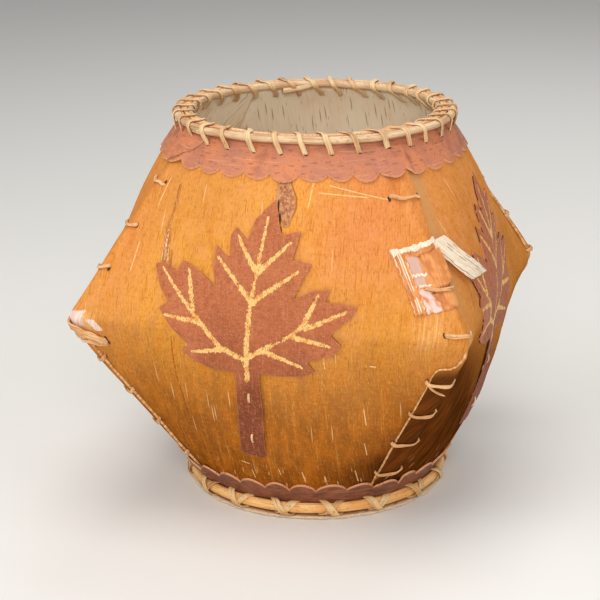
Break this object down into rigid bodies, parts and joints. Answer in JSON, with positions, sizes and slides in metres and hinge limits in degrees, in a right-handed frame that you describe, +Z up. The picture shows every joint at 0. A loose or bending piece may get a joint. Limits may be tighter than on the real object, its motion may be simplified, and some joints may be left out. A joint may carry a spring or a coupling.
{
  "type": "birch bark basket",
  "caption": "Free-standing basket of sewn birch bark walls with a round root-lashed mouth and foot, blunt pointed corners, scalloped bark bands and leaf appliques",
  "frame": {"origin": "centre of the floor's underside, where the basket stands", "axes": "+Z up through the mouth, -Y the front wall, +X the right wall"},
  "size_m": [0.2563, 0.2578, 0.2558],
  "materials": {
    "floor_bark": "thick bark disc with a rough pale cut edge",
    "wall_bark": "golden orange inner bark, satin, with fine upright streaks",
    "band_bark": "muted reddish brown bark, satin",
    "leaf_bark": "muted reddish brown bark with scraped pale veins",
    "torn_bark": "torn bark layers, white and orange, matte",
    "root_hoop": "split root, pale straw, dull",
    "root_lashing": "split root strips, pale straw, dull",
    "sewing_root": "thin split root, tan, dull",
    "leaf_thread": "thin dark root, dull"
  },
  "bodies": {
    "root": {"floor_disc": "floor_bark", "front_wall": "wall_bark", "right_wall": "wall_bark", "back_wall": "wall_bark", "left_wall": "wall_bark", "top_band": "band_bark", "bottom_band": "band_bark", "front_leaf": "leaf_bark", "right_leaf": "leaf_bark", "back_leaf": "leaf_bark", "left_leaf": "leaf_bark", "torn_patch": "torn_bark", "outer_rim_hoop": "root_hoop", "inner_rim_hoop": "root_hoop", "foot_hoop": "root_hoop", "rim_lashing_front": "root_lashing", "rim_lashing_back": "root_lashing", "foot_lashing_under": "root_lashing", "foot_lashing_over": "root_lashing", "upper_seam_root_front_left": "sewing_root", "upper_seam_root_front_right": "sewing_root", "upper_seam_root_back_right": "sewing_root", "upper_seam_root_back_left": "sewing_root", "lower_seam_root_front_left": "sewing_root", "lower_seam_root_front_right": "sewing_root", "lower_seam_root_back_right": "sewing_root", "lower_seam_root_back_left": "sewing_root", "front_leaf_stitches": "leaf_thread", "right_leaf_stitches": "leaf_thread", "back_leaf_stitches": "leaf_thread", "left_leaf_stitches": "leaf_thread"}
  },
  "joints": []
}
